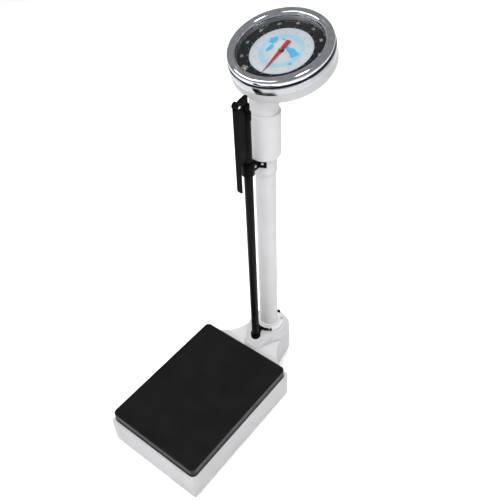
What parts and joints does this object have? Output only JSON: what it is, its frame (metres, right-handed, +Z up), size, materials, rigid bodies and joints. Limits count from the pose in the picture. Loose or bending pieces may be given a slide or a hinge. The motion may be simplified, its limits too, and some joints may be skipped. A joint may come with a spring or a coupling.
{
  "type": "dial column scale with height rod",
  "caption": "Floor-standing personal scale: low rectangular platform on a base, round column, tilted round dial head and a telescopic height rod with a folding headpiece.",
  "frame": {"origin": "on the floor, under the middle of the whole scale", "axes": "+Z up along the column, +X to the right of the user who faces the dial, +Y from the user towards the column"},
  "size_m": [0.2804, 0.6743, 0.9678],
  "materials": {
    "base_paint": "satin",
    "column_paint": "satin",
    "head_paint": "satin",
    "chrome": "polished",
    "lens_glass": "clear",
    "dial_white": "printed",
    "dial_black": "printed",
    "gasket_rubber": "matte",
    "foot_rubber": "matte",
    "mat_rubber": "satin",
    "tray_paint": "satin",
    "rod_paint": "satin",
    "black_plastic": "moulded",
    "arm_plastic": "moulded",
    "bush_plastic": "moulded",
    "screw_steel": "zinc plated",
    "plate_steel": "zinc plated",
    "lever_steel": "mill finish",
    "shaft_steel": "ground",
    "brass": "machined",
    "pointer_red": "painted",
    "hub_black": "moulded"
  },
  "bodies": {
    "stand": {"base_housing": "base_paint", "bottom_plate": "plate_steel", "neck_cover": "plate_steel", "feet": "foot_rubber", "bottom_screws": "screw_steel", "main_fulcrums": "plate_steel", "short_fulcrums": "plate_steel", "column_flange": "column_paint", "flange_screws": "screw_steel", "column_tube": "column_paint", "column_collar": "column_paint", "head_sleeve": "column_paint", "head_saddle": "column_paint", "head_pan": "head_paint", "bezel_skirt": "chrome", "bezel_ring": "chrome", "lens_gasket": "gasket_rubber", "dial_lens": "lens_glass", "dial_plate": "dial_white", "number_ring": "dial_black", "movement_plate": "brass", "movement_posts": "shaft_steel", "rack_guide": "brass", "crank_bracket": "plate_steel", "spring_hanger": "plate_steel", "main_springs": "shaft_steel", "rod_socket": "black_plastic", "socket_screws": "screw_steel", "rod_clamp": "black_plastic", "clamp_screws": "screw_steel", "rod_tube": "rod_paint", "rod_collar": "black_plastic"},
    "platform": {"platform_tray": "tray_paint", "platform_mat": "mat_rubber", "bearing_posts": "lever_steel"},
    "main_lever": {"main_lever": "lever_steel", "main_shaft": "shaft_steel", "lever_shackle": "lever_steel"},
    "short_lever": {"short_lever": "lever_steel", "short_shaft": "shaft_steel"},
    "pull_rod": {"pull_rod": "shaft_steel", "rod_hook": "lever_steel", "spring_yoke": "plate_steel", "rod_clevis": "lever_steel"},
    "bell_crank": {"bell_crank": "brass", "crank_pin": "shaft_steel"},
    "rack": {"drive_rack": "brass"},
    "pointer": {"pointer": "pointer_red", "pointer_hub": "hub_black", "pointer_shaft": "shaft_steel", "pinion": "brass"},
    "zero_adjuster": {"zero_knob": "black_plastic", "zero_screw": "shaft_steel"},
    "middle_tube": {"middle_tube": "rod_paint", "middle_cap": "black_plastic", "middle_guide": "bush_plastic"},
    "inner_tube": {"inner_tube": "rod_paint", "hinge_block": "black_plastic", "hinge_pin": "chrome"},
    "headpiece": {"headpiece_arm": "arm_plastic"}
  },
  "joints": [
    {"name": "platform_travel", "type": "slide", "parent": "stand", "child": "platform", "axis": [0, 0, -1], "range_m": [0, 0.003], "stiffness_N_per_m": 392000, "springref_m": -0.0002},
    {"name": "main_lever_tilt", "type": "hinge", "parent": "stand", "child": "main_lever", "pos_m": [0, -0.29318, 0.046], "axis": [-1, 0, 0], "range_deg": [0, 2.4]},
    {"name": "short_lever_tilt", "type": "hinge", "parent": "stand", "child": "short_lever", "pos_m": [0, 0.00682, 0.064], "axis": [1, 0, 0], "range_deg": [0, 3.6]},
    {"name": "pull_rod_slide", "type": "slide", "parent": "stand", "child": "pull_rod", "axis": [0, 0, -1], "range_m": [0, 0.0185], "deforming": ["main_springs"]},
    {"name": "bell_crank_swing", "type": "hinge", "parent": "stand", "child": "bell_crank", "pos_m": [0, 0.17725, 0.87233], "axis": [1, 0, 0], "range_deg": [0, 42]},
    {"name": "rack_slide", "type": "slide", "parent": "stand", "child": "rack", "axis": [0, -0.9521, -0.3057], "range_m": [0, 0.0185]},
    {"name": "pointer_turn", "type": "hinge", "parent": "stand", "child": "pointer", "pos_m": [0, 0.21568, 0.91618], "axis": [0, 0.3057, -0.9521], "range_deg": [0, 345]},
    {"name": "zero_turn", "type": "hinge", "parent": "stand", "child": "zero_adjuster", "pos_m": [0, 0.19882, 0.11], "axis": [0, 0, 1], "range_deg": [-180, 180]},
    {"name": "middle_tube_slide", "type": "slide", "parent": "stand", "child": "middle_tube", "axis": [0, 0, 1], "range_m": [0, 0.575]},
    {"name": "inner_tube_slide", "type": "slide", "parent": "middle_tube", "child": "inner_tube", "axis": [0, 0, 1], "range_m": [0, 0.575]},
    {"name": "headpiece_swing", "type": "hinge", "parent": "inner_tube", "child": "headpiece", "pos_m": [0, 0.06282, 0.8568], "axis": [-1, 0, 0], "range_deg": [0, 90]}
  ],
  "couplings": [
    {"joint": "main_lever_tilt", "follows": "platform_travel", "rad_per_m": 13.333},
    {"joint": "short_lever_tilt", "follows": "platform_travel", "rad_per_m": 20},
    {"joint": "pull_rod_slide", "follows": "platform_travel", "ratio": 5.96},
    {"joint": "bell_crank_swing", "follows": "platform_travel", "rad_per_m": 238.53},
    {"joint": "rack_slide", "follows": "platform_travel", "ratio": 5.96},
    {"joint": "pointer_turn", "follows": "platform_travel", "rad_per_m": 1989.7}
  ]
}
